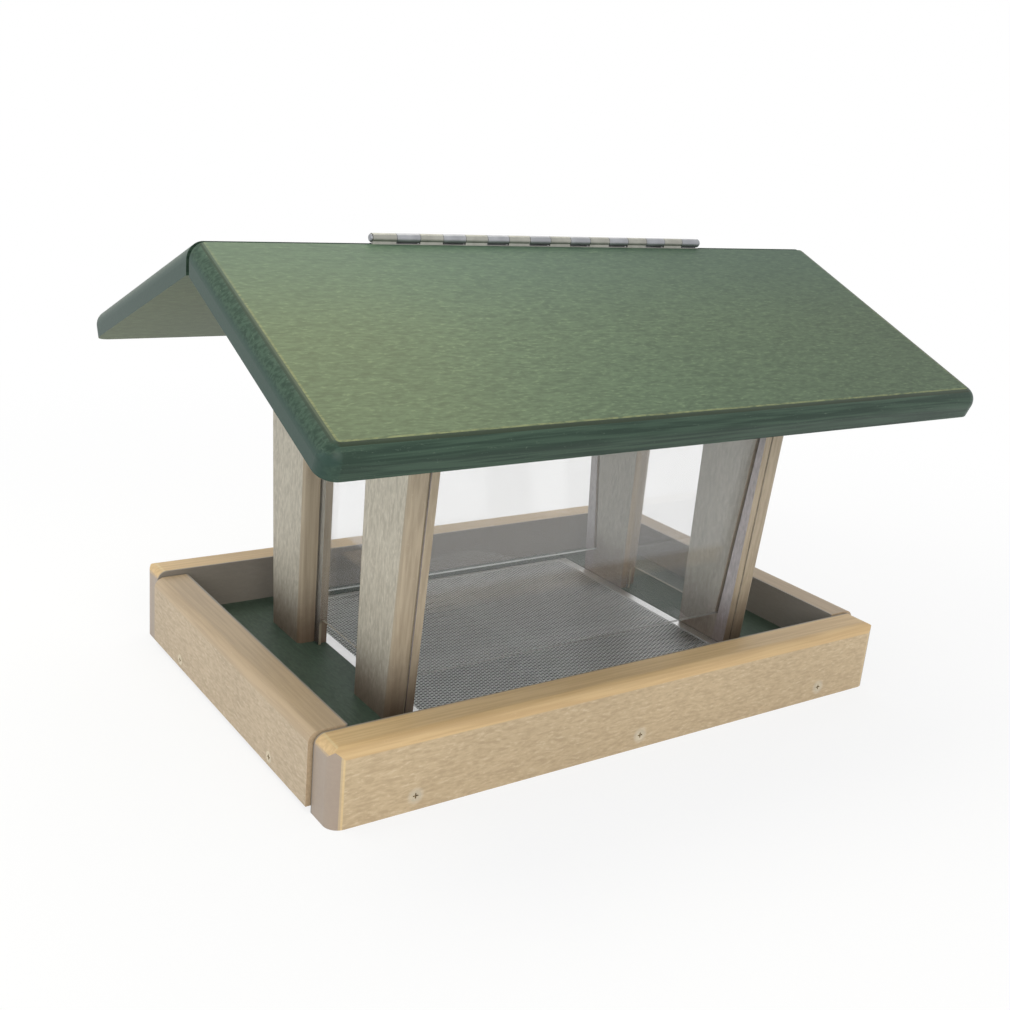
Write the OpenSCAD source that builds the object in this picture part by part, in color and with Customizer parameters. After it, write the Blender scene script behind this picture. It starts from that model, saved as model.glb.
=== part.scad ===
// Hopper bird feeder: a tray with a mesh floor, a clear-sided hopper on four posts and a roof hinged at the ridge.
// Origin: centre of the tray on the ground. X runs along the ridge, Y to the back, Z up. Millimetres.

/* [Tray] */
// Length of the front and rear rails
rail_l = 497; // [440:1:540]
// Depth of the tray over the front and rear rails
tray_w = 334; // [310:1:380]
// Thickness of the four rails
rail_t = 27; // [22:0.5:30]
// Height of the front rail
front_rail_h = 55.5; // [50:0.5:66]
// Height of the rear rail
rear_rail_h = 60.5; // [50:0.5:66]
// Height of the side rails
side_rail_h = 52.5; // [46:0.5:62]
// Gap between the ground and the side rails
side_rail_lift = 4; // [1:0.5:5]
// How far the side rails stand out past the ends of the front and rear rails
side_rail_proud = 3; // [1:0.5:8]
// Open joint at each end of a side rail
side_rail_gap = 1.5; // [0.5:0.25:3]
// Roundover along the top outer edge of every rail
rail_round = 8; // [3:0.5:12]
// Roundover of the upright ends of the front and rear rails
rail_end_round = 10; // [3:0.5:12]

/* [Tray floor] */
// Thickness of the green floor boards and ledges
floor_t = 24.5; // [20:0.5:28]
// Width of the rebated lip that carries the edge of the screen
lip_w = 8.8; // [6:0.2:14]
// Depth of the rebate that the screen lies in
rebate_h = 1.5; // [1.3:0.1:3]
// Width of the front and rear ledges beside the screen
ledge_w = 15; // [10:0.5:24]
// Width of the bar under the middle of the screen
support_w = 26; // [18:1:40]
// Gap round the edge of the screen
screen_gap = 0.5; // [0.2:0.1:1]
// Thickness of the flattened expanded-metal screen
screen_t = 1.2; // [0.8:0.1:1.2]
// Plain margin of the screen at its left and right ends
screen_margin = 8.5; // [5:0.5:14]
// Plain margin of the screen at the front and rear
screen_side_margin = 3; // [2:0.5:8]
// Length of a mesh cell, twice its width
mesh_pitch = 46.6; // [46:0.2:70]
// Width of a mesh strand
strand_w = 2.5; // [1.5:0.5:5]

/* [Hopper] */
// Inside length of the hopper, between the guide boards
hopper_l = 298; // [260:0.2:330]
// Thickness of the guide boards and cleats
guide_t = 6.2; // [4:0.2:10]
// Thickness of the clear end panels
end_panel_t = 2; // [1.5:0.25:4]
// Thickness of the outer post boards
post_t = 13.5; // [10:0.5:18]
// Lean of the slanted edges away from upright, in degrees
post_lean = 6.4; // [3:0.1:8]
// Lean of the outer edges of the posts, in degrees
post_edge_lean = 4.2; // [3:0.1:5]
// Distance from the middle to the upright edges of the post boards
post_in = 45; // [42:0.5:52]
// Distance from the middle to the upright edges of the guide boards
guide_in = 40; // [38.5:0.5:48]
// Distance from the middle to the groove for the clear panels, at floor level
groove_in = 77.5; // [74:0.5:84]
// Width of the cleats outside the grooves, at floor level
cleat_w = 13; // [12:0.5:18]
// Thickness of the slanted clear panels
panel_t = 3; // [2:0.25:4]
// Gap on each side of a clear panel in its groove
groove_gap = 0.25; // [0.1:0.05:0.3]
// Feed gap between the floor and the slanted clear panels
feed_gap = 24; // [12:1:40]
// Gap between the clear panels and the underside of the roof
panel_top_gap = 1.8; // [1:0.2:4]
// How far the end panels stay inside the slanted edges of the post boards
end_panel_inset = 1.5; // [0.5:0.25:4]
// Half width of the feed notch in the end panels
notch_in = 37; // [20:0.5:38]
// Height of the feed notch
notch_h = 22.5; // [12:0.5:40]
// Corner radius of the feed notch
notch_round = 6; // [2:0.5:10]
// Roundover of the outer long edges of the post boards
post_round = 4; // [1:0.5:5]

/* [Roof] */
// Length of the roof
roof_l = 558; // [500:1:600]
// Length of each slope from the ridge line to the eave
slope_l = 218.5; // [195:0.5:230]
// Thickness of the roof boards
roof_t = 20; // [16:0.5:26]
// Pitch of the roof in degrees
pitch = 22.4; // [18:0.1:28]
// Height of the ridge line, where the upper faces would meet
ridge_h = 338.5; // [310:0.5:380]
// Roundover of the upper edges at the eaves and ends
roof_round = 11; // [4:0.5:14]
// Radius of the roof's corners in plan
roof_corner = 12; // [11:0.5:20]
// Gap between the lid and the tops of the front posts
lid_gap = 0.3; // [0.2:0.05:0.6]

/* [Hinge] */
// Length of the continuous hinge
hinge_l = 300; // [260:1:330]
// Number of knuckles
knuckles = 16; // [8:2:20]
// Gap between neighbouring knuckles
knuckle_gap = 0.3; // [0.2:0.05:0.6]
// Height of the pin's centre over the ridge line
hinge_rise = 3; // [2.5:0.25:8]
// Diameter of the pin
pin_d = 3.2; // [2.6:0.1:3.6]
// Gap all round the pin in the knuckles
pin_gap = 0.06; // [0.03:0.01:0.09]
// Thickness of the leaves
leaf_t = 1.6; // [1.2:0.1:2]
// Gap between the two closed leaves
leaf_space = 1.8; // [1.2:0.1:2.4]
// Reach of the leaves below the pin's centre
leaf_drop = 19; // [17.5:0.5:21]
// Gap between a leaf's plate and the other leaf's knuckles
leaf_relief = 0.4; // [0.3:0.05:0.8]
// Diameter of the pin's upset ends
pin_head_d = 5.4; // [4.6:0.2:6.4]

/* [Screws] */
// Length of the rail screws
rail_screw_l = 63; // [55:1:70]
// Diameter of the rail, post and roof screws
screw_d = 4.2; // [3.5:0.1:4.8]
// Diameter of their heads
screw_head_d = 8.2; // [7:0.2:9]
// Height of the rail screws over the ground
rail_screw_z = 10.5; // [9:0.5:13]
// Distance of the outer rail screws from the middle of the front and rear rails
rail_screw_x = 188; // [180:1:200]
// Distance of the side rail screws from the middle
side_screw_y = 82; // [60:1:90]
// Length of the post and roof screws
post_screw_l = 50; // [42:1:55]
// Space between the two screws of a post
post_screw_space = 26; // [20:1:30]
// Length of the hinge screws
hinge_screw_l = 11; // [9:0.5:12]
// Diameter of the hinge screws
hinge_screw_d = 2.8; // [2.2:0.1:3]
// Diameter of the hinge screws' heads
hinge_screw_head_d = 5.4; // [4.6:0.2:6]
// Space between hinge screws
hinge_screw_pitch = 50.8; // [40:0.2:52]
// Number of hinge screws in each leaf
hinge_screws = 6; // [4:1:6]
// Gap all round a screw in its hole
screw_gap = 0.05; // [0.03:0.01:0.1]

/* [Hidden] */
$fn = 64;

tan_board = [0.74, 0.65, 0.50];
pale_board = [0.68, 0.63, 0.55];
green_board = [0.30, 0.40, 0.30];
clear_sheet = [0.85, 0.90, 0.92, 0.35];
bright_metal = [0.72, 0.72, 0.70];

// Sides of the object, as signs along X and Y
left = -1;
right = 1;
front = -1;
rear = 1;

// How far a cutting solid runs past the surface that it cuts
over = 2;

// Inner faces of the rails
rail_in_y = tray_w / 2 - rail_t;
side_out_x = rail_l / 2 + side_rail_proud;
side_in_x = side_out_x - rail_t;

// Edges of the screen, of its rebate and of the lips under it
screen_x = hopper_l / 2;
rebate_x = screen_x + screen_gap;
lip_x = rebate_x - lip_w;
rebate_y = rail_in_y - ledge_w;
screen_y = rebate_y - screen_gap;
lip_y = rebate_y - lip_w;
lip_top = floor_t - rebate_h;

// The lattice of the screen: each row of diamonds reaches half a cell into its neighbours
mesh_l = 2 * (screen_x - screen_margin);
mesh_w = 2 * (screen_y - screen_side_margin);
mesh_cols = floor(mesh_l / mesh_pitch);
mesh_rows = floor(4 * mesh_w / mesh_pitch) - 1;
cell_l = mesh_l / mesh_cols;
row_step = mesh_w / (mesh_rows + 1);
strand_slope = atan(2 * row_step / cell_l);

// The layers of an end assembly, outwards along X
guide_x = hopper_l / 2;
panel_x = guide_x + guide_t;
post_x = panel_x + end_panel_t;
post_out_x = post_x + post_t;
post_mid_x = post_x + post_t / 2;

// Distances from the middle at floor level, along Y
lean_slope = tan(post_lean);
panel_w = panel_t / cos(post_lean);
groove_w = panel_w + 2 * groove_gap;
cleat_in = groove_in + groove_w;
post_out = cleat_in + cleat_w;

edge_slope = tan(post_edge_lean);

// The roof's underside, where it would meet over the middle
roof_slope = tan(pitch);
under_ridge = ridge_h - roof_t / cos(pitch);

// The hinge
hinge_z = ridge_h + hinge_rise;
bore_r = pin_d / 2 + pin_gap;
barrel_r = bore_r + leaf_t;
plate_in = leaf_space / 2;
plate_out = plate_in + leaf_t;
knuckle_pitch = hinge_l / knuckles;
pin_head_h = 1.2;
pin_head_round = 1;
hinge_screw_edge = 2.5;
hinge_screw_z = hinge_z - leaf_drop + hinge_screw_edge + hinge_screw_head_d / 2;

// Heights of the screws' conical heads and points, and the width and relative depth of their cross recesses
head_h = 2.6;
hinge_head_h = 1.4;
point_h = 4;
recess_w = 1;
recess_depth = 0.7;

// First post screw's distance from the middle, with the pair centred under the foot of the post
post_screw_y = (post_in + post_out - post_screw_space) / 2;
// The same for the roof screws, centred on the post's top
roof_screw_y = (post_in + top_point(post_out, edge_slope, 0)[0] - post_screw_space) / 2;

// Distance from the middle of a line that starts at y0 on the floor and leans outwards, at height z
function lean_y(y0, z) = y0 + (z - floor_t) * lean_slope;

// Where a line from y0 on the floor, leaning by slope, comes within gap of the underside of the roof
function top_point(y0, slope, gap) =
    let (y = (y0 + (under_ridge - gap - floor_t) * slope) / (1 + roof_slope * slope))
    [y, under_ridge - gap - y * roof_slope];

// Mirrors a shape drawn at +X and +Y to the corner given by two signs
module at_corner(sx, sy) {
    mirror([sx < 0 ? 1 : 0, 0, 0])
        mirror([0, sy < 0 ? 1 : 0, 0])
            children();
}

// Extrudes a profile drawn in Y and Z along X, from x = 0
module along_x(length) {
    rotate([90, 0, 90]) linear_extrude(length) children();
}

// Extrudes a profile drawn in X and Z along Y, from y = 0 to -length
module along_y(length) {
    rotate([90, 0, 0]) linear_extrude(length) children();
}

// Waste outside a quarter-round of radius r, for a corner at the origin whose solid lies towards -X and -Y
module corner_waste(r) {
    difference() {
        translate([-r, -r]) square(r + over);
        translate([-r, -r]) circle(r);
    }
}

// Rectangle from x = 0, y = 0 with its corner at +X and +Y rounded
module one_round(w, h, r) {
    difference() {
        square([w, h]);
        translate([w, h]) corner_waste(r);
    }
}

// Rectangle centred on x = 0, from y = 0, with both of its upper corners rounded
module two_round(w, h, r) {
    difference() {
        translate([-w / 2, 0]) square([w, h]);
        translate([w / 2, h]) corner_waste(r);
        mirror([1, 0]) translate([w / 2, h]) corner_waste(r);
    }
}

// Countersunk screw along -Z with the middle of its head's face at the origin, widened all round by gap
module screw_body(length, d, head_d, cone_h, gap) {
    shank_r = d / 2 + gap;
    rotate_extrude()
        polygon([
            [0, 0], [head_d / 2 + gap, 0], [shank_r, -cone_h],
            [shank_r, point_h - length], [d / 8, -length - gap], [0, -length - gap]
        ]);
}

// A screw with its cross recess
module wood_screw(length, d, head_d, cone_h) {
    difference() {
        screw_body(length, d, head_d, cone_h, 0);
        for (turn = [0, 90])
            rotate([0, 0, turn])
                translate([-head_d / 4, -recess_w / 2, -cone_h * recess_depth])
                    cube([head_d / 2, recess_w, cone_h]);
    }
}

module large_screw(length) {
    wood_screw(length, screw_d, screw_head_d, head_h);
}

module large_screw_hole(length) {
    screw_body(length, screw_d, screw_head_d, head_h, screw_gap);
}

// Places of the three screws through the front or rear rail, heads outwards
module at_rail_screws(sy) {
    for (x = [-rail_screw_x, 0, rail_screw_x])
        translate([x, sy * tray_w / 2, rail_screw_z])
            rotate([-sy * 90, 0, 0])
                children();
}

// Places of the two screws through the left or right rail, heads outwards
module at_side_screws(sx) {
    for (sy = [front, rear])
        translate([sx * side_out_x, sy * side_screw_y, rail_screw_z])
            rotate([0, sx * 90, 0])
                children();
}

// Places of the two screws from below into one post, heads down
module at_post_screws(sx, sy) {
    for (step = [0, post_screw_space])
        translate([sx * post_mid_x, sy * (post_screw_y + step), 0])
            rotate([180, 0, 0])
                children();
}

// Places of the two screws through the rear roof panel into one post, square to the slope
module at_roof_screws(sx) {
    for (step = [0, post_screw_space]) {
        y = roof_screw_y + step + roof_t * sin(pitch);
        translate([sx * post_mid_x, y, ridge_h - y * roof_slope])
            rotate([-pitch, 0, 0])
                children();
    }
}

// Places of the screws through one leaf of the hinge, heads towards the middle
module at_hinge_screws(sy) {
    for (i = [0 : hinge_screws - 1])
        translate([(i - (hinge_screws - 1) / 2) * hinge_screw_pitch, sy * plate_in, hinge_screw_z])
            rotate([sy * 90, 0, 0])
                children();
}

module hinge_screw_hole() {
    screw_body(hinge_screw_l, hinge_screw_d, hinge_screw_head_d, hinge_head_h, screw_gap);
}

// Front or rear rail, of height h
module long_rail(sy, h) {
    difference() {
        at_corner(right, sy)
            intersection() {
                translate([-rail_l / 2, rail_in_y, 0])
                    along_x(rail_l) one_round(rail_t, h, rail_round);
                translate([0, rail_in_y, -over])
                    linear_extrude(h + 2 * over) two_round(rail_l, rail_t, rail_end_round);
                translate([0, tray_w / 2 + over, 0])
                    along_y(rail_t + 2 * over) two_round(rail_l, h, rail_round);
            }
        at_rail_screws(sy) large_screw_hole(rail_screw_l);
    }
}

// Left or right rail, between the front and rear rails
module side_rail(sx) {
    length = 2 * (rail_in_y - side_rail_gap);
    difference() {
        at_corner(sx, front)
            translate([side_in_x, length / 2, side_rail_lift])
                along_y(length) one_round(rail_t, side_rail_h, rail_round);
        at_side_screws(sx) large_screw_hole(rail_screw_l);
    }
}

// Floor board at one end, with a rebated lip along its inner edge for the screen
module floor_board(sx) {
    difference() {
        at_corner(sx, front)
            translate([0, rail_in_y, 0])
                along_y(2 * rail_in_y)
                    difference() {
                        translate([lip_x, 0]) square([side_in_x - lip_x, floor_t]);
                        translate([lip_x - over, lip_top]) square([rebate_x - lip_x + over, floor_t]);
                    }
        at_rail_screws(front) large_screw_hole(rail_screw_l);
        at_rail_screws(rear) large_screw_hole(rail_screw_l);
        at_side_screws(sx) large_screw_hole(rail_screw_l);
        at_post_screws(sx, front) large_screw_hole(post_screw_l);
        at_post_screws(sx, rear) large_screw_hole(post_screw_l);
    }
}

// Ledge along the front or rear rail, with a rebated lip for the screen
module ledge(sy) {
    difference() {
        at_corner(right, sy)
            translate([-lip_x, 0, 0])
                along_x(2 * lip_x)
                    difference() {
                        translate([lip_y, 0]) square([rail_in_y - lip_y, floor_t]);
                        translate([lip_y - over, lip_top]) square([rebate_y - lip_y + over, floor_t]);
                    }
        at_rail_screws(sy) large_screw_hole(rail_screw_l);
    }
}

module centre_support() {
    difference() {
        translate([-support_w / 2, -lip_y, 0]) cube([support_w, 2 * lip_y, lip_top]);
        for (sy = [front, rear])
            at_rail_screws(sy) large_screw_hole(rail_screw_l);
    }
}

// One opening of the mesh, a diamond with its points along X and Y
module mesh_opening() {
    half_l = cell_l / 2 - strand_w / (2 * sin(strand_slope));
    half_w = half_l * tan(strand_slope);
    polygon([[half_l, 0], [0, half_w], [-half_l, 0], [0, -half_w]]);
}

// Expanded-metal screen: rows of diamonds, every other row shifted by half a diamond
module screen() {
    translate([0, 0, lip_top])
        linear_extrude(screen_t)
            difference() {
                translate([-screen_x, -screen_y]) square([2 * screen_x, 2 * screen_y]);
                for (row = [0 : mesh_rows - 1], col = [0 : mesh_cols - 1 - row % 2])
                    translate([
                        (col + 0.5 + (row % 2) / 2) * cell_l - mesh_l / 2,
                        (row + 1) * row_step - mesh_w / 2
                    ])
                        mesh_opening();
            }
}

// Profile of a board that stands on the floor, from y_in to y_out there, its top gap below the roof
module upright_profile(y_in, y_out, in_slope, out_slope, gap) {
    polygon([
        [y_in, floor_t], [y_out, floor_t],
        top_point(y_out, out_slope, gap), top_point(y_in, in_slope, gap)
    ]);
}

// Gap over the boards on one side: the front ones stay clear of the lid, the rear ones carry the roof
function top_gap(sy) = sy == front ? lid_gap : 0;

// Outer board of a post, with rounded outer edges
module post_board(sx, sy) {
    difference() {
        at_corner(sx, sy)
            difference() {
                translate([post_x, 0, 0])
                    along_x(post_t) upright_profile(post_in, post_out, 0, edge_slope, top_gap(sy));
                translate([post_out_x, post_in, floor_t - over])
                    linear_extrude(ridge_h) mirror([0, 1]) corner_waste(post_round);
                translate([post_out_x, post_out, floor_t])
                    rotate([-post_edge_lean, 0, 0])
                        translate([0, 0, -over]) linear_extrude(ridge_h) corner_waste(post_round);
            }
        at_post_screws(sx, sy) large_screw_hole(post_screw_l);
        if (sy == rear) at_roof_screws(sx) large_screw_hole(post_screw_l);
    }
}

// Inner board of a post, up to the groove
module guide_board(sx, sy) {
    at_corner(sx, sy)
        translate([guide_x, 0, 0])
            along_x(guide_t) upright_profile(guide_in, groove_in, 0, lean_slope, top_gap(sy));
}

// Strip outside the groove
module cleat(sx, sy) {
    at_corner(sx, sy)
        translate([guide_x, 0, 0])
            along_x(guide_t) upright_profile(cleat_in, post_out, lean_slope, edge_slope, top_gap(sy));
}

// Blocks in the feet of the four grooves
module panel_stops() {
    stop_top = floor_t + feed_gap;
    for (sx = [left, right], sy = [front, rear])
        at_corner(sx, sy)
            translate([guide_x, 0, 0])
                along_x(guide_t)
                    polygon([
                        [groove_in, floor_t], [cleat_in, floor_t],
                        [lean_y(cleat_in, stop_top), stop_top], [lean_y(groove_in, stop_top), stop_top]
                    ]);
}

// Clear panel in the front or rear grooves, standing on the stops
module slanted_panel(sy) {
    inner = groove_in + groove_gap;
    outer = inner + panel_w;
    bottom = floor_t + feed_gap;
    top = top_point(outer, lean_slope, panel_top_gap)[1];
    half_l = panel_x - groove_gap;
    at_corner(right, sy)
        translate([-half_l, 0, 0])
            along_x(2 * half_l)
                polygon([
                    [lean_y(inner, bottom), bottom], [lean_y(outer, bottom), bottom],
                    [lean_y(outer, top), top], [lean_y(inner, top), top]
                ]);
}

// Clear gable panel with a rounded feed notch at the bottom
module end_panel(sx) {
    outer = post_out - end_panel_inset;
    corner = top_point(outer, edge_slope, panel_top_gap);
    at_corner(sx, rear)
        translate([panel_x, 0, 0])
            along_x(end_panel_t)
                difference() {
                    polygon([
                        [-outer, floor_t], [outer, floor_t], corner,
                        [0, under_ridge - panel_top_gap], [-corner[0], corner[1]]
                    ]);
                    translate([0, floor_t - over])
                        two_round(2 * notch_in, notch_h + over, notch_round);
                }
}

// Board of one slope lying flat, from the ridge line at y = 0 to the eave, its upper face at z = 0.
// Its upper edge is rounded along the ends and the eave, and round the corners between them.
module roof_board() {
    corner_r = max(roof_corner, roof_round);
    straight_l = roof_l - 2 * corner_r;
    translate([0, 0, -roof_t]) {
        translate([-straight_l / 2, 0, 0])
            along_x(straight_l) one_round(slope_l, roof_t, roof_round);
        translate([0, slope_l - corner_r, 0])
            along_y(slope_l - corner_r) two_round(roof_l, roof_t, roof_round);
        for (sx = [left, right])
            translate([sx * straight_l / 2, slope_l - corner_r, 0])
                rotate_extrude() one_round(corner_r, roof_t, roof_round);
    }
}

// Roof board of the front or rear slope, with plumb-cut edge at the hinge
module roof_panel(sy) {
    difference() {
        at_corner(right, sy)
            difference() {
                translate([0, 0, ridge_h])
                    rotate([-pitch, 0, 0])
                        roof_board();
                translate([-roof_l, plate_out - 2 * roof_t, ridge_h - 3 * roof_t])
                    cube([2 * roof_l, 2 * roof_t, 4 * roof_t]);
            }
        at_hinge_screws(sy) hinge_screw_hole();
        if (sy == rear)
            for (sx = [left, right])
                at_roof_screws(sx) large_screw_hole(post_screw_l);
    }
}

// Leaf of the continuous hinge. Its knuckles start at the left end at the front, and one later at the rear.
module hinge_leaf(sy) {
    first = sy == front ? 0 : 1;
    plate_y = sy == front ? -plate_out : plate_in;
    neck_z = hinge_z - barrel_r - leaf_relief;
    knuckle_l = knuckle_pitch - knuckle_gap;
    difference() {
        union() {
            translate([-hinge_l / 2, plate_y, hinge_z - leaf_drop])
                cube([hinge_l, leaf_t, leaf_drop - hinge_z + neck_z]);
            for (i = [first : 2 : knuckles - 1])
                translate([-hinge_l / 2 + i * knuckle_pitch + knuckle_gap / 2, 0, 0]) {
                    translate([0, plate_y, neck_z - over])
                        cube([knuckle_l, leaf_t, hinge_z - neck_z + over]);
                    translate([0, 0, hinge_z])
                        rotate([0, 90, 0]) cylinder(h = knuckle_l, r = barrel_r);
                }
        }
        translate([-hinge_l / 2 - over, 0, hinge_z])
            rotate([0, 90, 0]) cylinder(h = hinge_l + 2 * over, r = bore_r);
        at_hinge_screws(sy) hinge_screw_hole();
    }
}

// Pin with an upset, domed head at each end
module hinge_pin() {
    translate([0, 0, hinge_z])
        rotate([0, 90, 0])
            rotate_extrude()
                for (end = [0, 1])
                    mirror([0, end])
                        pin_half_profile();
}

// Upper half of the pin's profile: radius along X, length along Y
module pin_half_profile() {
    square([pin_d / 2, hinge_l / 2 + pin_head_h / 2]);
    translate([0, hinge_l / 2])
        one_round(pin_head_d / 2, pin_head_h, pin_head_round);
}

module rail_screws() {
    for (sy = [front, rear])
        at_rail_screws(sy) large_screw(rail_screw_l);
    for (sx = [left, right])
        at_side_screws(sx) large_screw(rail_screw_l);
}

module post_screws() {
    for (sx = [left, right], sy = [front, rear])
        at_post_screws(sx, sy) large_screw(post_screw_l);
}

module roof_screws() {
    for (sx = [left, right])
        at_roof_screws(sx) large_screw(post_screw_l);
}

module hinge_screw_row(sy) {
    at_hinge_screws(sy)
        wood_screw(hinge_screw_l, hinge_screw_d, hinge_screw_head_d, hinge_head_h);
}

color(tan_board) long_rail(front, front_rail_h);  // front_rail
color(tan_board) long_rail(rear, rear_rail_h);  // rear_rail
color(tan_board) side_rail(left);  // left_rail
color(tan_board) side_rail(right);  // right_rail
color(green_board) floor_board(left);  // floor_left
color(green_board) floor_board(right);  // floor_right
color(green_board) ledge(front);  // front_ledge
color(green_board) ledge(rear);  // rear_ledge
color(green_board) centre_support();
color(bright_metal) screen();
color(pale_board) post_board(left, front);  // post_front_left
color(pale_board) post_board(right, front);  // post_front_right
color(pale_board) post_board(left, rear);  // post_rear_left
color(pale_board) post_board(right, rear);  // post_rear_right
color(pale_board) guide_board(left, front);  // guide_front_left
color(pale_board) guide_board(right, front);  // guide_front_right
color(pale_board) guide_board(left, rear);  // guide_rear_left
color(pale_board) guide_board(right, rear);  // guide_rear_right
color(pale_board) cleat(left, front);  // cleat_front_left
color(pale_board) cleat(right, front);  // cleat_front_right
color(pale_board) cleat(left, rear);  // cleat_rear_left
color(pale_board) cleat(right, rear);  // cleat_rear_right
color(pale_board) panel_stops();
color(clear_sheet) slanted_panel(front);  // front_panel
color(clear_sheet) slanted_panel(rear);  // rear_panel
color(clear_sheet) end_panel(left);  // end_panel_left
color(clear_sheet) end_panel(right);  // end_panel_right
color(green_board) roof_panel(front);  // front_roof_panel
color(green_board) roof_panel(rear);  // rear_roof_panel
color(bright_metal) hinge_leaf(front);  // hinge_leaf_front
color(bright_metal) hinge_leaf(rear);  // hinge_leaf_rear
color(bright_metal) hinge_pin();
color(bright_metal) rail_screws();
color(bright_metal) post_screws();
color(bright_metal) roof_screws();
color(bright_metal) hinge_screw_row(front);  // hinge_screws_front
color(bright_metal) hinge_screw_row(rear);  // hinge_screws_rear
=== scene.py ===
"""Looks of the hopper bird feeder: plastic lumber, clear panels, expanded-metal floor and steel hinge."""

import math

import bpy
from mathutils import Matrix, Vector


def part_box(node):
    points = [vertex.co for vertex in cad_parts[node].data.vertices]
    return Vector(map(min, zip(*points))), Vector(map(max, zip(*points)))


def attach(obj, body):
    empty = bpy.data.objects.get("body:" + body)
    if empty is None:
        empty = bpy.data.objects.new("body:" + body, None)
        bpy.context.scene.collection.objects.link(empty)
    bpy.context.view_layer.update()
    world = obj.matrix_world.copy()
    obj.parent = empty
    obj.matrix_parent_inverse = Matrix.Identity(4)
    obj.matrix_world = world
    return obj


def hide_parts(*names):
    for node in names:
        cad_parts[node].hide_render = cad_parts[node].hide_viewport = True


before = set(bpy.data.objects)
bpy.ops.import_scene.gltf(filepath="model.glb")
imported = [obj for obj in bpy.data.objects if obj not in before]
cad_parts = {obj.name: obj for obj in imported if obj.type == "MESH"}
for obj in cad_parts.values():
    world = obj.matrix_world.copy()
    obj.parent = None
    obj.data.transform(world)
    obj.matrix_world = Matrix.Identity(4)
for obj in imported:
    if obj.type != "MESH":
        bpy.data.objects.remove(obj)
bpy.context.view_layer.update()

MM = 0.001

# The frame's own sizes
SCREEN_LOW, SCREEN_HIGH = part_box("screen")
POST_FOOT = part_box("post_front_right")[0][2]
TRAY_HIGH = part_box("rear_rail")[1]
RAIL_INNER_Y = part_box("rear_rail")[0][1]
RAIL_INNER_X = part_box("right_rail")[0][0]
SCREW_LOW, SCREW_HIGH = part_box("rail_screws")
SCREW_X = 188 * MM
SCREW_Z = 10.5 * MM
SCREW_PLACES = [
    (x, y, SCREW_Z) for y in (SCREW_LOW[1], SCREW_HIGH[1]) for x in (-SCREW_X, 0, SCREW_X)
]
PITCH = math.radians(22.4)
POST_LEAN = math.radians(6.4)

AXES = {"X": (1, 0, 0), "Y": (0, 1, 0), "Z": (0, 0, 1)}

# Noise patterns: cells in a metre, detail and roughness
FLECKS = (560, 2.0, 0.6)
PITS = (330, 2.0, 0.5)
FINE = (1500, 2.0, 0.6)
BROAD = (9, 3.0, 0.55)
STREAKS = (420, 2.0, 0.55)
RAGGED = (160, 3.0, 0.6)
PATCHY = (6, 2.0, 0.5)
DUSTY = (14, 3.0, 0.6)
STAINS = (90, 3.0, 0.55)
SWAYING = (90, 1.0, 0.5)

# How far a pattern is drawn out along the grain, and how far it bends out of line
FLECK_STRETCH = 3.2
PIT_STRETCH = 4.5
STREAK_STRETCH = 30
BROAD_STRETCH = 1.6
SCRATCH_STRETCH = 40
GRAIN_SWAY = 0.004
PIT_SWAY = 0.008

# Lumber colours: the bands of a pattern over which one colour gives way to the next, and the share it takes
MOTTLED = (0.34, 0.6)
LIGHT_FLECKS, LIGHT_FLECK_SHARE = (0.56, 0.74), 0.7
STREAKED = (0.35, 0.65)
LIGHT_STREAKS, LIGHT_STREAK_SHARE = (0.6, 0.68), 0.6
BROAD_TONE = 0.3

# How much of one pattern is mixed into another
FLECKS_IN_MOTTLE = 0.6
FINE_IN_LIGHT_FLECKS = 0.2
FINE_IN_LIGHT_STREAKS = 0.5

# Lumber gloss and embossing
LUMBER_IOR = 1.45
FADED_IOR = 1.35
MACHINED_ROUGHNESS = 0.34
SKIN_ROUGHNESS_ADDS = 0.12
FINE_ROUGHNESS_ADDS = 0.12
EMBOSS_DEPTH = 0.22 * MM
EMBOSS_STRENGTH = 0.6
FLECK_RELIEF = 0.7
PIT_RELIEF = 0.4
STREAK_RELIEF = 0.2
FINE_RELIEF = 0.1

# Bands of a roundover, as cosines of its turn away from the broad face: where each starts and is full
SKIN_EDGE = (0.985, 0.997)
PALE_LINE_OUTSIDE, PALE_LINE_INSIDE = (0.975, 0.99), (0.9985, 0.9995)
DARK_LINE_OUTSIDE, DARK_LINE_INSIDE = (0.9, 0.94), (0.975, 0.985)
PALE_LINE_WORN, PALE_LINE_LEAST, PALE_LINE_ADDS = (0.3, 0.6), 0.04, 0.24
DARK_LINE_SHARE = 0.8

# Bands of a board's end, as cosines of its normal's angle to the grain, or upwards for the last one
END_FACE, END_FACE_SHARE = (0.2, 0.45), 0.85
END_LINE_OUTSIDE, END_LINE_INSIDE, END_LINE_SHARE = (0.12, 0.2), (0.3, 0.4), 0.45
UPRIGHT_LIMIT = (0.15, 0.5)

# Wear and shade: where the darker foot of a post ends, partly damp dirt and partly painted shade from the
# rails, and the pale rings round screws
FOOT_DARK_FULL = 8 * MM
FOOT_DARK_END = 66 * MM
FOOT_DARK_RAGGED = 12 * MM
FOOT_DARK_SHARE = 0.78
RING_R = 7.2 * MM
RING_CORE = 0.6
RING_SHARE = 0.3

# Painted light on the roof's top: a warm painted light, a cool painted reflection and painted shade, by place
# along the ridge and by height, in metres
ROOF_TOP_FACE = (0.88, 0.915)
ROOF_PATCHINESS = 0.1
ROOF_WARM_LIGHT, ROOF_WARM_LIGHT_SHARE = (-0.24, 0.04), 0.26
ROOF_COOL_REFLECTION, ROOF_COOL_REFLECTION_SHARE = (0.29, 0.34), 0.4
ROOF_SHADE, ROOF_SHADE_SHARE = (-0.2, 0.33), 0.28

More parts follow.
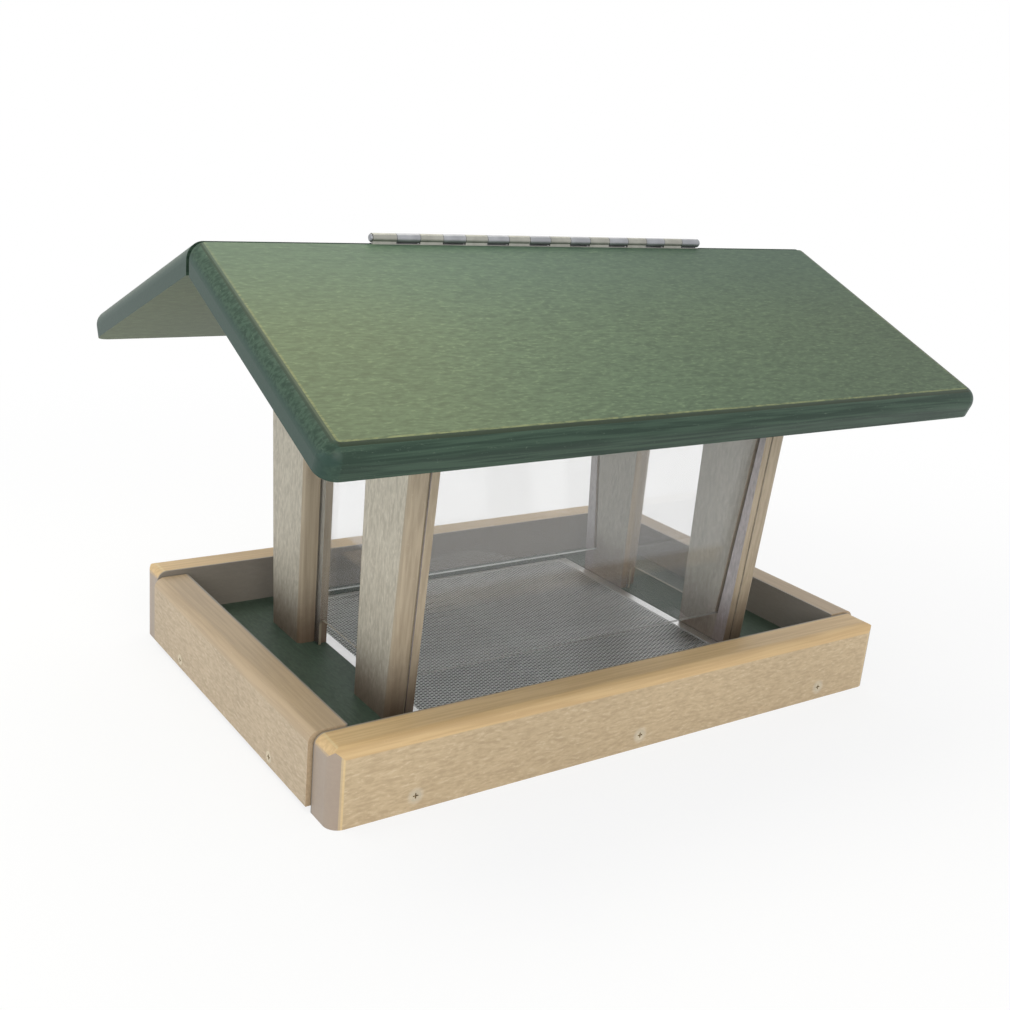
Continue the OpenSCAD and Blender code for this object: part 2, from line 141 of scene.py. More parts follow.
# Greyer, darker colour of a rail's inner face, by distance behind it
GREYED_FROM = 0.5 * MM
GREYED_TO = 2 * MM
GREYED_SHARE = 0.85

# Clear acrylic
SHEET_IOR = 1.49
SHEET_HAZE = 0.03
SHEET_DUST_ADDS = 0.05
SHEET_GLOW_SHARE = 0.6
SHEET_FACE = (0.6, 0.7)
SHEET_EDGE_SHARE = 0.75
SHEET_GLOSS_ROUGHNESS = 0.02
SHEET_EDGE_ROUGHNESS = 0.35
WHITE = (1, 1, 1, 1)
DUST = (0.95, 0.96, 0.97, 1)
REFLECTED = (0.9, 0.9, 0.9, 1)
CUT_ACRYLIC = (0.72, 0.78, 0.74, 1)

# Bare metal
STAINED = (0.35, 0.7)
SCRATCH_ROUGHNESS_ADDS = 0.12
STAIN_ROUGHNESS_ADDS = 0.12
SCRATCH_DEPTH = 0.03 * MM
SCRATCH_STRENGTH = 0.5

# Expanded-metal screen
MESH_CELL_L = 5.66 * MM
MESH_CELL_W = 3.07 * MM
MESH_STRAND_W = 0.86 * MM
MESH_STRAND_T = 0.35 * MM
MESH_END_MARGIN = 8.5 * MM
MESH_SIDE_MARGIN = 3.0 * MM

# Studio: the floor, whose ground is painted dark as shadow under the tray and which turns white with
# distance, and the light
FLOOR_HALF = 12.0
GROUND_RIM = 30 * MM
PAINTED_SHADOW_UNDER_TRAY = (0.06, 0.06, 0.06, 1)
GROUND_AROUND = (0.85, 0.85, 0.85, 1)
FLOOR_WHITE = (0.35, 1.1)
FLOOR_LEAST_WHITE = 0.8
WORLD_TINT = (0.95, 0.97, 1, 1)
LAMPS_AIM = Vector((0, 0, 0.15))

# The photograph's camera
FRAME_PX = 1010
FOCAL_PX = 1247.9
SENSOR_MM = 36
CAMERA_AZIMUTH = math.radians(-35.79)
CAMERA_ELEVATION = math.radians(17.72)
CAMERA_ROLL = math.radians(5.16)
CAMERA_DISTANCE = 0.8057
CAMERA_TARGET = Vector((-0.1176, -0.1381, 0.1899))


class Graph:
    """A node tree and the one way in which its nodes are made."""

    def __init__(self, tree):
        self.tree = tree

    def node(self, kind, settings=None, inputs=None):
        """A node of that type: its settings are set first, then its sockets' values or links."""
        made = self.tree.nodes.new(kind)
        for name, value in (settings or {}).items():
            setattr(made, name, value)
        for key, value in (inputs or {}).items():
            self.feed(made.inputs[key], value)
        return made

    def feed(self, socket, value):
        """Gives a socket its link, or its own value."""
        if isinstance(value, Number):
            value = value.socket
        if isinstance(value, bpy.types.NodeSocket):
            self.tree.links.new(value, socket)
        else:
            socket.default_value = value

    def number(self, kind, settings=None, inputs=None, output=0):
        """An output of a new node, to do sums with."""
        return Number(self, self.node(kind, settings, inputs).outputs[output])


class Number:
    """A socket that Python's operators work on, each as a Math node."""

    kind = "ShaderNodeMath"

    def __init__(self, graph, socket):
        self.graph = graph
        self.socket = socket

    def math(self, operation, *terms):
        return self.graph.number(self.kind, {"operation": operation}, dict(enumerate(terms)))

    def __add__(self, other):
        return self.math("ADD", self, other)

    __radd__ = __add__

    def __mul__(self, other):
        return self.math("MULTIPLY", self, other)

    __rmul__ = __mul__

    def __sub__(self, other):
        return self.math("SUBTRACT", self, other)

    def __rsub__(self, other):
        return self.math("SUBTRACT", other, self)

    def __truediv__(self, other):
        return self.math("DIVIDE", self, other)

    def __mod__(self, other):
        return self.math("FLOORED_MODULO", self, other)

    def most(self, other):
        return self.math("MAXIMUM", self, other)

    def size(self):
        return self.math("ABSOLUTE", self)

    def between(self, low, high):
        """0 at low, 1 at high, smooth in between."""
        return self.graph.number(
            "ShaderNodeMapRange",
            {"interpolation_type": "SMOOTHSTEP"},
            {"Value": self, "From Min": low, "From Max": high},
        )


class Finish(Graph):
    """A material built from nodes, on the piece's own Object coordinates."""

    def __init__(self, name):
        self.material = bpy.data.materials.new(name)
        self.material.use_nodes = True
        super().__init__(self.material.node_tree)
        self.tree.nodes.clear()
        self.place = self.node("ShaderNodeTexCoord").outputs["Object"]
        self.face = self.node("ShaderNodeNewGeometry").outputs["True Normal"]

    def vector(self, operation, *terms):
        """The vector that a Vector Math node makes of these terms."""
        made = self.node("ShaderNodeVectorMath", {"operation": operation}, dict(enumerate(terms)))
        return made.outputs[0]

    def facing(self, direction):
        """How far the face's normal lies along a direction, either way: 1 where it is square to it."""
        dot = self.node("ShaderNodeVectorMath", {"operation": "DOT_PRODUCT"}, {0: self.face, 1: direction})
        return Number(self, dot.outputs["Value"]).size()

    def noise(self, vector, scale, detail, roughness, output=0):
        inputs = {"Vector": vector, "Scale": scale, "Detail": detail, "Roughness": roughness}
        return self.number("ShaderNodeTexNoise", None, inputs, output)

    def blend(self, share, first, second):
        """Mixes two colours: all of second where share is 1."""
        mix = self.node("ShaderNodeMix", {"data_type": "RGBA"}, {0: share, 6: first, 7: second})
        return mix.outputs[2]

    def tone(self, base, strength):
        """A colour made lighter or darker by a number round 1."""
        grey = self.node("ShaderNodeCombineColor", None, {0: strength, 1: strength, 2: strength}).outputs[0]
        mix = self.node(
            "ShaderNodeMix", {"data_type": "RGBA", "blend_type": "MULTIPLY"}, {0: 1.0, 6: base, 7: grey}
        )
        return mix.outputs[2]

    def bump(self, height, distance, strength):
        return self.node(
            "ShaderNodeBump", None, {"Height": height, "Distance": distance, "Strength": strength}
        ).outputs[0]

    def surface(self, inputs):
        shader = self.node("ShaderNodeBsdfPrincipled", None, inputs)
        self.output(shader.outputs[0])

    def output(self, socket):
        self.node("ShaderNodeOutputMaterial", None, {"Surface": socket})


def colour(red, green, blue):
    """A linear colour from 0 to 255 values as a screen shows them."""

    def linear(value):
        share = value / 255
        return share / 12.92 if share <= 0.04045 else ((share + 0.055) / 1.055) ** 2.4

    return (linear(red), linear(green), linear(blue), 1)


def grain_place(finish, axis, stretch, sway=GRAIN_SWAY):
    """Object coordinates drawn out along the board's grain, and bent a little out of line."""
    scale = [1.0, 1.0, 1.0]
    scale["XYZ".index(axis)] = 1 / stretch
    drawn = finish.vector("MULTIPLY", finish.place, scale)
    bend = finish.noise(drawn, *SWAYING, output=1)
    shift = finish.vector("MULTIPLY", finish.vector("SUBTRACT", bend.socket, (0.5,) * 3), (sway,) * 3)
    return finish.vector("ADD", drawn, shift)


def edge_lines(finish, base, flat, flecks, rim):
    """Thin pale line and then a dark one, where a broad face turns into its roundover."""
    worn = flecks.between(*PALE_LINE_WORN) * PALE_LINE_ADDS + PALE_LINE_LEAST
    pale = flat.between(*PALE_LINE_OUTSIDE) * (1 - flat.between(*PALE_LINE_INSIDE)) * worn
    dark = flat.between(*DARK_LINE_OUTSIDE) * (1 - flat.between(*DARK_LINE_INSIDE)) * DARK_LINE_SHARE
    return finish.blend(dark, finish.blend(pale, base, rim[0]), rim[1])


def end_grain(finish, base, axis, cut_end):
    """Plain colour on a board's upright ends and their roundovers, and a line of another where they begin."""
    square = finish.facing(AXES[axis])
    upright = 1 - finish.facing(AXES["Z"]).between(*UPRIGHT_LIMIT)
    plain = finish.blend(square.between(*END_FACE) * upright * END_FACE_SHARE, base, cut_end[0])
    line = square.between(*END_LINE_OUTSIDE) * (1 - square.between(*END_LINE_INSIDE)) * END_LINE_SHARE
    return finish.blend(line, plain, cut_end[1])


def lumber(name, axis, skin, machined, broad_normal, marks=None, rim=None, cut_end=None, ior=LUMBER_IOR):
    """Recycled-plastic lumber: embossed, faded skin on the broad faces, darker streaky machined edges.

    skin and machined are each (dark, middle, light). The grain runs along axis. marks adds more to the
    colour. rim is the pair of colours for edge_lines, and cut_end the pair for end_grain.
    """
    finish = Finish(name)
    flecks = finish.noise(grain_place(finish, axis, FLECK_STRETCH), *FLECKS)
    pits = finish.noise(grain_place(finish, axis, PIT_STRETCH, PIT_SWAY), *PITS)
    fine = finish.noise(finish.place, *FINE)
    broad = finish.noise(grain_place(finish, axis, BROAD_STRETCH), *BROAD)
    streaks = finish.noise(grain_place(finish, axis, STREAK_STRETCH), *STREAKS)

    mottled = (flecks * FLECKS_IN_MOTTLE + pits * (1 - FLECKS_IN_MOTTLE)).between(*MOTTLED)
    skin_colour = finish.blend(mottled, skin[0], skin[1])
    light_flecks = (flecks + (fine - 0.5) * FINE_IN_LIGHT_FLECKS).between(*LIGHT_FLECKS)
    skin_colour = finish.blend(light_flecks * LIGHT_FLECK_SHARE, skin_colour, skin[2])
    edge_colour = finish.blend(streaks.between(*STREAKED), machined[0], machined[1])
    flecked = fine * FINE_IN_LIGHT_STREAKS + flecks * (1 - FINE_IN_LIGHT_STREAKS)
    light_streaks = flecked.between(*LIGHT_STREAKS) * LIGHT_STREAK_SHARE
    edge_colour = finish.blend(light_streaks, edge_colour, machined[2])
    flat = finish.facing(broad_normal)
    on_skin = flat.between(*SKIN_EDGE)
    base = finish.blend(on_skin, edge_colour, skin_colour)
    if rim:
        base = edge_lines(finish, base, flat, flecks, rim)
    if cut_end:
        base = end_grain(finish, base, axis, cut_end)
    base = finish.tone(base, broad * BROAD_TONE + (1 - BROAD_TONE / 2))
    if marks:
        base = marks(finish, base)
    embossed = on_skin * (flecks * FLECK_RELIEF + pits * PIT_RELIEF)
    height = embossed + streaks * STREAK_RELIEF + fine * FINE_RELIEF
    finish.surface({
        "Base Color": base,
        "Roughness": on_skin * SKIN_ROUGHNESS_ADDS + fine * FINE_ROUGHNESS_ADDS + MACHINED_ROUGHNESS,
        "IOR": ior,
        "Normal": finish.bump(height, EMBOSS_DEPTH, EMBOSS_STRENGTH),
    })
    return finish.material


def foot_stain_and_shade(finish, base):
    """Darker foot of a post, where it stands in the tray: partly damp dirt, partly painted shade cast by the
    rails.
    """
    height = Number(finish, finish.node("ShaderNodeSeparateXYZ", None, {0: finish.place}).outputs[2])
    ragged = finish.noise(finish.place, *RAGGED) * FOOT_DARK_RAGGED
    # Painted shade from the rails, mixed with damp dirt, darkens the foot of each board
    stain_and_shade = 1 - (height + ragged).between(POST_FOOT + FOOT_DARK_FULL, POST_FOOT + FOOT_DARK_END)
    return finish.blend(stain_and_shade * FOOT_DARK_SHARE, base, colour(80, 58, 42))


def painted_light_on_roof(finish, base):
    """The roof's broad top with painted light: warm painted light towards one end, painted shade deepening
    towards the other and a cool painted reflection at the ridge.
    """
    axes = finish.node("ShaderNodeSeparateXYZ", None, {0: finish.place}).outputs
    on_top = finish.facing(AXES["Z"]).between(*ROOF_TOP_FACE)
    along = Number(finish, axes[0]) + finish.noise(finish.place, *PATCHY) * ROOF_PATCHINESS
    # Painted light: warm towards the low-x end, a cool reflection high up by the ridge, shade deepening
    # towards the high-x end
    warm_share = (1 - along.between(*ROOF_WARM_LIGHT)) * on_top * ROOF_WARM_LIGHT_SHARE
    warm = finish.blend(warm_share, base, colour(106, 108, 68))
    cool_share = Number(finish, axes[2]).between(*ROOF_COOL_REFLECTION) * on_top * ROOF_COOL_REFLECTION_SHARE
    cool = finish.blend(cool_share, warm, colour(58, 88, 82))
    return finish.tone(cool, 1 - along.between(*ROOF_SHADE) * on_top * ROOF_SHADE_SHARE)


def grey_inner_face(finish, base, axis, inner):
    """Greyer, darker inner face of a rail, which lies at that distance from the middle along the axis."""
    axes = finish.node("ShaderNodeSeparateXYZ", None, {0: finish.place})
    far = Number(finish, axes.outputs["XYZ".index(axis)]).size()
    inside = 1 - far.between(inner + GREYED_FROM, inner + GREYED_TO)
    return finish.blend(inside * GREYED_SHARE, base, colour(124, 121, 117))


def long_rail_marks(finish, base):
    """Marks of the front and rear rails: rings round their screws, and a greyer, darker inner face."""
    return grey_inner_face(finish, screw_rings(finish, base), "Y", RAIL_INNER_Y)


def side_rail_marks(finish, base):
    """Marks of the left and right rails: a greyer, darker inner face."""
    return grey_inner_face(finish, base, "X", RAIL_INNER_X)


def screw_rings(finish, base):
    """Pale rings of stressed plastic round the screws of the front and rear rails."""
    reach = None
    for place in SCREW_PLACES:
        way = finish.vector("SUBTRACT", finish.place, place)
        far = finish.node("ShaderNodeVectorMath", {"operation": "LENGTH"}, {0: way}).outputs["Value"]
        reach = Number(finish, far) if reach is None else reach.math("MINIMUM", reach, far)
    ring = 1 - reach.between(RING_R * RING_CORE, RING_R)
    return finish.blend(ring * RING_SHARE, base, colour(214, 208, 192))


def clear_sheet(name, broad_normal, cut_colour=CUT_ACRYLIC):
    """Clear plastic sheet: a little hazed, mirror-like at grazing angles, and solid at its cut edges."""
    finish = Finish(name)
    clear = finish.node("ShaderNodeBsdfTransparent", None, {"Color": WHITE})
    dust = finish.node("ShaderNodeBsdfDiffuse", None, {"Color": DUST})
    glow = finish.node("ShaderNodeBsdfTranslucent", None, {"Color": DUST})
    haze = finish.node(
        "ShaderNodeMixShader", None, {0: SHEET_GLOW_SHARE, 1: dust.outputs[0], 2: glow.outputs[0]}
    )
    gloss = finish.node("ShaderNodeBsdfPrincipled", None, {
        "Base Color": REFLECTED, "Metallic": 1.0, "Roughness": SHEET_GLOSS_ROUGHNESS,
    })
    dusty = finish.noise(finish.place, *DUSTY) * SHEET_DUST_ADDS + SHEET_HAZE
    hazed = finish.node("ShaderNodeMixShader", None, {0: dusty, 1: clear.outputs[0], 2: haze.outputs[0]})
    back = Number(finish, finish.node("ShaderNodeNewGeometry").outputs["Backfacing"])
    bending = back * (1 / SHEET_IOR - SHEET_IOR) + SHEET_IOR
    fresnel = finish.number("ShaderNodeFresnel", None, {"IOR": bending})
    faces = finish.node("ShaderNodeMixShader", None, {0: fresnel, 1: hazed.outputs[0], 2: gloss.outputs[0]})
    edge = finish.node("ShaderNodeBsdfPrincipled", None, {
        "Base Color": cut_colour, "Roughness": SHEET_EDGE_ROUGHNESS,
    })
    on_edge = 1 - finish.facing(broad_normal).between(*SHEET_FACE)
    both = finish.node(
        "ShaderNodeMixShader", None,
        {0: on_edge * SHEET_EDGE_SHARE, 1: faces.outputs[0], 2: edge.outputs[0]},
    )
    finish.output(both.outputs[0])
    return finish.material


def metal(name, base, scratch_axis, roughness, stained):
    """Bare metal with fine drawn lines along one axis, and stains that darken it to that share."""
    finish = Finish(name)
    lines = finish.noise(grain_place(finish, scratch_axis, SCRATCH_STRETCH), *FINE)
    stains = finish.noise(finish.place, *STAINS)
    dark = tuple(channel * stained for channel in base[:3]) + (1,)
    finish.surface({
        "Base Color": finish.blend(stains.between(*STAINED), dark, base),
        "Metallic": 1.0,
        "Roughness": lines * SCRATCH_ROUGHNESS_ADDS + stains * STAIN_ROUGHNESS_ADDS + roughness,
        "Normal": finish.bump(lines, SCRATCH_DEPTH, SCRATCH_STRENGTH),
    })
    return finish.material


def dress(material, *names):
    """Puts one material into every slot of each named CAD node."""
    for name in names:
        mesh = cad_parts[name].data
        mesh.materials.clear()
        mesh.materials.append(material)


def put(name, mesh, material):
    """A new piece at the origin."""
    piece = bpy.data.objects.new(name, mesh)
    bpy.context.scene.collection.objects.link(piece)
    if material:
        mesh.materials.append(material)
    return piece


def look_from(azimuth, elevation):
    """Unit vector from the object towards a viewer there. Azimuth 0 is in front."""
    level = math.cos(elevation)
    return Vector((math.sin(azimuth) * level, -math.cos(azimuth) * level, math.sin(elevation)))


def make_camera():
    """The photograph's camera: the turn about its own line of sight comes last."""
    back = look_from(CAMERA_AZIMUTH, CAMERA_ELEVATION)
    level = (-back).cross(Vector(AXES["Z"])).normalized()
    upright = level.cross(-back)
    turn, rise = math.cos(CAMERA_ROLL), math.sin(CAMERA_ROLL)
    right = turn * level + rise * upright
    up = turn * upright - rise * level
    data = bpy.data.cameras.new("camera")
    data.sensor_width = SENSOR_MM
    data.lens = FOCAL_PX / FRAME_PX * SENSOR_MM
    data.clip_start = 10 * MM
    camera = bpy.data.objects.new("camera", data)
    bpy.context.scene.collection.objects.link(camera)
    camera.matrix_world = Matrix.Translation(CAMERA_TARGET + back * CAMERA_DISTANCE) @ Matrix((
        (right.x, up.x, back.x, 0), (right.y, up.y, back.y, 0), (right.z, up.z, back.z, 0), (0, 0, 0, 1),
    ))
    bpy.context.scene.camera = camera


def make_lamp(name, azimuth, elevation, distance, size, watts, tint, glints=True):
    """A soft square lamp aimed at the middle of the feeder. Without glints, gloss doesn't mirror it."""
    data = bpy.data.lights.new(name, "AREA")
    data.size = size
    data.energy = watts
    data.color = tint
    lamp = bpy.data.objects.new(name, data)
    lamp.visible_glossy = glints
    direction = look_from(math.radians(azimuth), math.radians(elevation))
    lamp.matrix_world = Matrix.Translation(LAMPS_AIM + direction * distance) @ (
        direction.to_track_quat("Z", "Y").to_matrix().to_4x4()
    )
    bpy.context.scene.collection.objects.link(lamp)


def seen_rays(graph):
    """1 for rays that show the background: from the camera, from gloss and through clear things."""
    path = graph.node("ShaderNodeLightPath")
    seen = Number(graph, path.outputs["Is Camera Ray"])
    for kind in ("Is Glossy Ray", "Is Transmission Ray"):
        seen = seen.most(path.outputs[kind])
    return seen


def make_world(strength):
    """Even, faintly blue light on the feeder, and plain white for what shows the background."""
    world = bpy.data.worlds.new("studio")
    world.use_nodes = True
    bpy.context.scene.world = world
    graph = Graph(world.node_tree)
    graph.tree.nodes.clear()
    light = graph.node("ShaderNodeBackground", None, {"Color": WORLD_TINT, "Strength": strength})
    white = graph.node("ShaderNodeBackground", None, {"Color": WHITE, "Strength": 1.0})
    mix = graph.node(
        "ShaderNodeMixShader", None, {0: seen_rays(graph), 1: light.outputs[0], 2: white.outputs[0]}
    )
    graph.node("ShaderNodeOutputWorld", None, {"Surface": mix.outputs[0]})


def make_floor():
    """A wide pale floor that keeps a soft shadow, melts into the white and has a painted shadow under the
    tray.
    """
    mesh = bpy.data.meshes.new("floor")
    corners = [(x * FLOOR_HALF, y * FLOOR_HALF, 0) for x, y in ((-1, -1), (1, -1), (1, 1), (-1, 1))]
    mesh.from_pydata(corners, [], [(0, 1, 2, 3)])
    finish = Finish("pale_floor")
    white = finish.node("ShaderNodeEmission", None, {"Color": WHITE, "Strength": 1.0})
    far = finish.node("ShaderNodeVectorMath", {"operation": "LENGTH"}, {0: finish.place}).outputs["Value"]
    axes = finish.node("ShaderNodeSeparateXYZ", None, {0: finish.place})
    open_x = Number(finish, axes.outputs[0]).size().between(TRAY_HIGH[0] - GROUND_RIM, TRAY_HIGH[0])
    open_y = Number(finish, axes.outputs[1]).size().between(TRAY_HIGH[1] - GROUND_RIM, TRAY_HIGH[1])
    in_open = open_x.most(open_y)
    fading = Number(finish, far).between(*FLOOR_WHITE) * (1 - FLOOR_LEAST_WHITE) + FLOOR_LEAST_WHITE
    # Painted shadow: under the tray the ground is dark and gets no white; outside it the white fades in
    share = fading * in_open
    ground = finish.blend(in_open, PAINTED_SHADOW_UNDER_TRAY, GROUND_AROUND)
    matt = finish.node("ShaderNodeBsdfDiffuse", None, {"Color": ground})
    mix = finish.node(
        "ShaderNodeMixShader", None, {0: seen_rays(finish) * share, 1: matt.outputs[0], 2: white.outputs[0]}
    )
    finish.output(mix.outputs[0])
    put("floor", mesh, finish.material)


def sheet_frame(low, high, end_margin, side_margin):
    """Flat frame with square edges: the plain margins of the screen."""
    outer = [(low.x, low.y), (high.x, low.y), (high.x, high.y), (low.x, high.y)]
    inner = [
        (low.x + end_margin, low.y + side_margin), (high.x - end_margin, low.y + side_margin),
        (high.x - end_margin, high.y - side_margin), (low.x + end_margin, high.y - side_margin),
    ]
    verts = [(x, y, z) for z in (low.z, high.z) for ring in (outer, inner) for x, y in ring]
    faces = []
    for i in range(4):
        j = (i + 1) % 4
        faces += [
            (8 + i, 8 + j, 12 + j, 12 + i),
            (i, 4 + i, 4 + j, j),
            (i, j, 8 + j, 8 + i),
            (4 + i, 12 + i, 12 + j, 4 + j),
        ]
    mesh = bpy.data.meshes.new("screen_margins")
    mesh.from_pydata(verts, [], faces)
    return mesh


def mesh_tree(material):
    """Rows of zigzag strands, every other row shifted by half a cell, joined to the margins."""
    tree = bpy.data.node_groups.new("expanded_mesh", "GeometryNodeTree")
    graph = Graph(tree)
    interface = tree.interface
    interface.new_socket("Geometry", in_out="INPUT", socket_type="NodeSocketGeometry")
    for name, kind in (
        ("Cell length", "NodeSocketFloat"), ("Cell width", "NodeSocketFloat"),
        ("Columns", "NodeSocketInt"), ("Rows", "NodeSocketInt"),
        ("Strand width", "NodeSocketFloat"), ("Strand thickness", "NodeSocketFloat"),
        ("Height", "NodeSocketFloat"),
    ):
        interface.new_socket(name, in_out="INPUT", socket_type=kind)
    interface.new_socket("Geometry", in_out="OUTPUT", socket_type="NodeSocketGeometry")
    given = graph.node("NodeGroupInput").outputs
    cell_l = Number(graph, given["Cell length"])
    cell_w = Number(graph, given["Cell width"])
    columns = Number(graph, given["Columns"])
    rows = Number(graph, given["Rows"])
    index = graph.number("GeometryNodeInputIndex")

    steps = columns * 2 + 2
    step = graph.node("ShaderNodeCombineXYZ", None, {0: cell_l / 2}).outputs[0]
    start = graph.node("ShaderNodeCombineXYZ", None, {0: (columns + 1) * cell_l / -2}).outputs[0]
    line = graph.node(
        "GeometryNodeMeshLine", None, {"Count": steps + 1, "Start Location": start, "Offset": step}
    )
    zigzag = graph.node("ShaderNodeCombineXYZ", None, {1: (index % 2 - 0.5) * cell_w / 2}).outputs[0]
    bent = graph.node("GeometryNodeSetPosition", None, {"Geometry": line.outputs[0], "Offset": zigzag})
    curve = graph.node("GeometryNodeMeshToCurve", None, {"Mesh": bent.outputs[0]})
    upright = graph.node("GeometryNodeSetCurveNormal", {"mode": "Z_UP"}, {"Curve": curve.outputs[0]})
    profile = graph.node(
        "GeometryNodeCurvePrimitiveQuadrilateral", None,
        {"Width": given["Strand width"], "Height": given["Strand thickness"]},
    )
    strand = graph.node(
        "GeometryNodeCurveToMesh", None,
        {"Curve": upright.outputs[0], "Profile Curve": profile.outputs[0], "Fill Caps": True},
    )
    row_step = graph.node("ShaderNodeCombineXYZ", None, {1: cell_w / 2}).outputs[0]
    row_start = graph.node(
        "ShaderNodeCombineXYZ", None, {1: (rows - 1) * cell_w / -4, 2: given["Height"]}
    ).outputs[0]
    spots = graph.node(
        "GeometryNodeMeshLine", None, {"Count": rows, "Start Location": row_start, "Offset": row_step}
    )
    shift = graph.node("ShaderNodeCombineXYZ", None, {0: (index % 2) * cell_l / 2}).outputs[0]
    shifted = graph.node("GeometryNodeSetPosition", None, {"Geometry": spots.outputs[0], "Offset": shift})
    copies = graph.node(
        "GeometryNodeInstanceOnPoints", None, {"Points": shifted.outputs[0], "Instance": strand.outputs[0]}
    )
    plain = graph.node("GeometryNodeRealizeInstances", None, {"Geometry": copies.outputs[0]})
    joined = graph.node("GeometryNodeJoinGeometry", None, {"Geometry": plain.outputs[0]})
    tree.links.new(given["Geometry"], joined.inputs["Geometry"])
    done = graph.node(
        "GeometryNodeSetMaterial", None, {"Geometry": joined.outputs[0], "Material": material}
    )
    graph.node("NodeGroupOutput", None, {"Geometry": done.outputs[0]})
    return tree


def bake_tree(piece, tree, values):
    """Runs a geometry tree on a piece with its inputs set, and leaves the plain mesh."""
    modifier = piece.modifiers.new("tree", "NODES")
    modifier.node_group = tree
    for item in tree.interface.items_tree:
        if item.name in values and item.in_out == "INPUT":
            modifier[item.identifier] = values[item.name]
    graph = bpy.context.evaluated_depsgraph_get()
    mesh = bpy.data.meshes.new_from_object(piece.evaluated_get(graph))
    piece.modifiers.remove(modifier)
    piece.data = mesh


def make_screen(material):
    """The fine expanded-metal screen, in place of the CAD's coarse one."""
    low, high = Vector(SCREEN_LOW), Vector(SCREEN_HIGH)
    piece = put("screen_mesh", sheet_frame(low, high, MESH_END_MARGIN, MESH_SIDE_MARGIN), None)
    open_l = high.x - low.x - 2 * MESH_END_MARGIN
    open_w = high.y - low.y - 2 * MESH_SIDE_MARGIN
    columns = round(open_l / MESH_CELL_L)
    rows = round(open_w / MESH_CELL_W * 2)
    bake_tree(piece, mesh_tree(material), {
        "Cell length": open_l / columns,
        "Cell width": open_w / rows * 2,
        "Columns": columns,
        "Rows": rows,
        "Strand width": MESH_STRAND_W,
        "Strand thickness": MESH_STRAND_T,
        "Height": (low.z + high.z) / 2,
    })
    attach(piece, "base")
    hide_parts("screen")


make_camera()
make_world(strength=0.74)
make_floor()
make_lamp("key", azimuth=-22, elevation=22, distance=2.4, size=1.5, watts=20, tint=(1.0, 0.96, 0.9))
make_lamp("side", azimuth=-90, elevation=12, distance=2.2, size=1.4, watts=7.5, tint=(0.78, 0.9, 1.0))
make_lamp("window", azimuth=150, elevation=62, distance=1.5, size=1.0, watts=6, tint=(1.0, 0.95, 0.85))
make_lamp(
    "left", azimuth=-100, elevation=60, distance=0.8, size=0.3, watts=2.3, tint=(1.0, 0.95, 0.75),
    glints=False,
)

tan_skin = (colour(178, 157, 126), colour(194, 173, 140), colour(206, 188, 158))
tan_machined = (colour(196, 165, 120), colour(208, 178, 131), colour(215, 188, 143))
# The side rails' lumber is a darker, cooler copy of the front and rear rails': painted shade of the weaker,
# cooler light on the side faces
tan_shaded_side_skin = (colour(168, 149, 123), colour(184, 165, 139), colour(196, 179, 154))
tan_shaded_side_machined = (colour(168, 147, 120), colour(180, 158, 129), colour(190, 170, 142))
tan_end = (colour(150, 138, 130), colour(212, 194, 152))
rail_x = lumber("tan_lumber_long", "X", tan_skin, tan_machined, (0, 1, 0), long_rail_marks, cut_end=tan_end)
rail_y = lumber("tan_lumber_side", "Y", tan_shaded_side_skin, tan_shaded_side_machined, (1, 0, 0), side_rail_marks)
drift_skin = (colour(168, 160, 144), colour(190, 182, 165), colour(206, 198, 182))
drift_machined = (colour(159, 145, 124), colour(174, 160, 138), colour(190, 177, 155))
post_z = lumber("driftwood_lumber_post", "Z", drift_skin, drift_machined, (1, 0, 0), foot_stain_and_shade)
guide_skin = (colour(166, 162, 152), colour(182, 178, 167), colour(196, 192, 182))
guide_z = lumber("driftwood_lumber_guide", "Z", guide_skin, drift_machined, (1, 0, 0), foot_stain_and_shade)
cleat_skin = (colour(170, 165, 166), colour(188, 182, 183), colour(204, 198, 199))
cleat_z = lumber("driftwood_lumber_cleat", "Z", cleat_skin, drift_machined, (1, 0, 0), foot_stain_and_shade)
green_skin = (colour(66, 84, 62), colour(82, 102, 76), colour(106, 126, 94))
green_machined = (colour(34, 54, 43), colour(54, 75, 61), colour(90, 108, 92))
green_rim = (colour(160, 154, 98), colour(36, 46, 28))
green_end = (colour(38, 62, 54), colour(44, 68, 58))
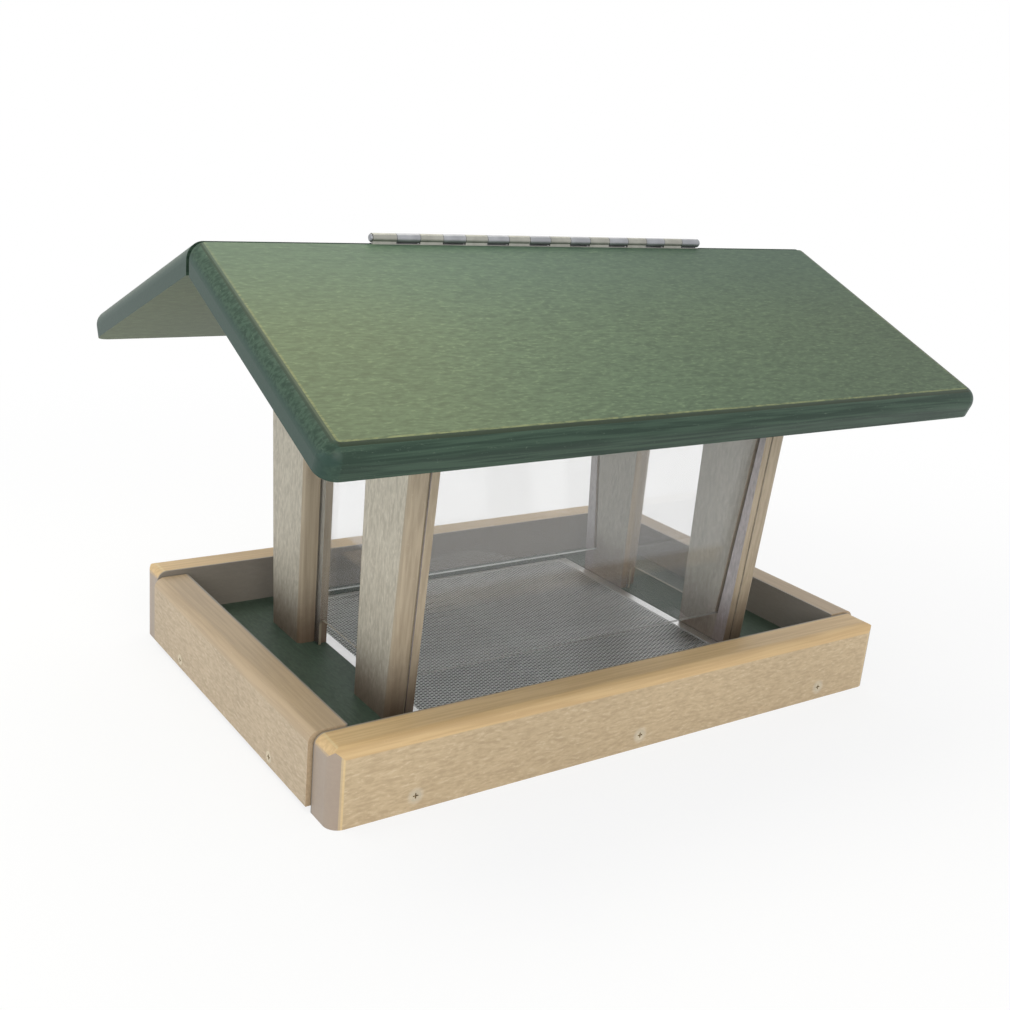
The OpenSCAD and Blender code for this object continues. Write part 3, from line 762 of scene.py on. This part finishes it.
roof_front = lumber(
    "green_lumber_front", "X", green_skin, green_machined, (0, -math.sin(PITCH), math.cos(PITCH)),
    painted_light_on_roof, green_rim, green_end, FADED_IOR,
)
roof_rear = lumber(
    "green_lumber_rear", "X", green_skin, green_machined, (0, math.sin(PITCH), math.cos(PITCH)),
    painted_light_on_roof, green_rim, green_end, FADED_IOR,
)
floor_skin = (colour(62, 78, 66), colour(71, 88, 75), colour(80, 97, 83))
floor_y = lumber("green_lumber_floor", "Y", floor_skin, green_machined, (0, 0, 1))
mesh_metal = metal("expanded_metal", colour(250, 250, 250), "X", roughness=0.24, stained=0.94)
hinge_front = metal("hinge_steel_front", colour(170, 170, 162), "X", roughness=0.36, stained=0.82)
hinge_rear = metal("hinge_steel_rear", colour(168, 170, 174), "X", roughness=0.34, stained=0.82)
screw_metal = metal("screw_steel", colour(214, 202, 178), "Z", roughness=0.42, stained=0.85)

dress(rail_x, "front_rail", "rear_rail")
dress(rail_y, "left_rail", "right_rail")
dress(floor_y, "floor_left", "floor_right", "front_ledge", "rear_ledge", "centre_support")
for front_or_rear in ("front", "rear"):
    for side in ("left", "right"):
        for board, material in (("post", post_z), ("guide", guide_z), ("cleat", cleat_z)):
            dress(material, f"{board}_{front_or_rear}_{side}")
dress(guide_z, "panel_stops")
front_leaning = (0, math.cos(POST_LEAN), math.sin(POST_LEAN))
# The front sheet's cut edges are darker grey than the rear's: painted shade of the kerfs they stand in
dress(clear_sheet("clear_front", front_leaning, colour(128, 126, 120)), "front_panel")
dress(clear_sheet("clear_rear", (0, math.cos(POST_LEAN), -math.sin(POST_LEAN))), "rear_panel")
dress(clear_sheet("clear_ends", (1, 0, 0), colour(150, 138, 116)), "end_panel_left", "end_panel_right")
dress(roof_front, "front_roof_panel")
dress(roof_rear, "rear_roof_panel")
dress(hinge_front, "hinge_leaf_front")
dress(hinge_rear, "hinge_leaf_rear", "hinge_pin")
dress(screw_metal, "rail_screws", "post_screws", "roof_screws", "hinge_screws_front", "hinge_screws_rear")
make_screen(mesh_metal)

bpy.context.scene.view_settings.view_transform = "Standard"
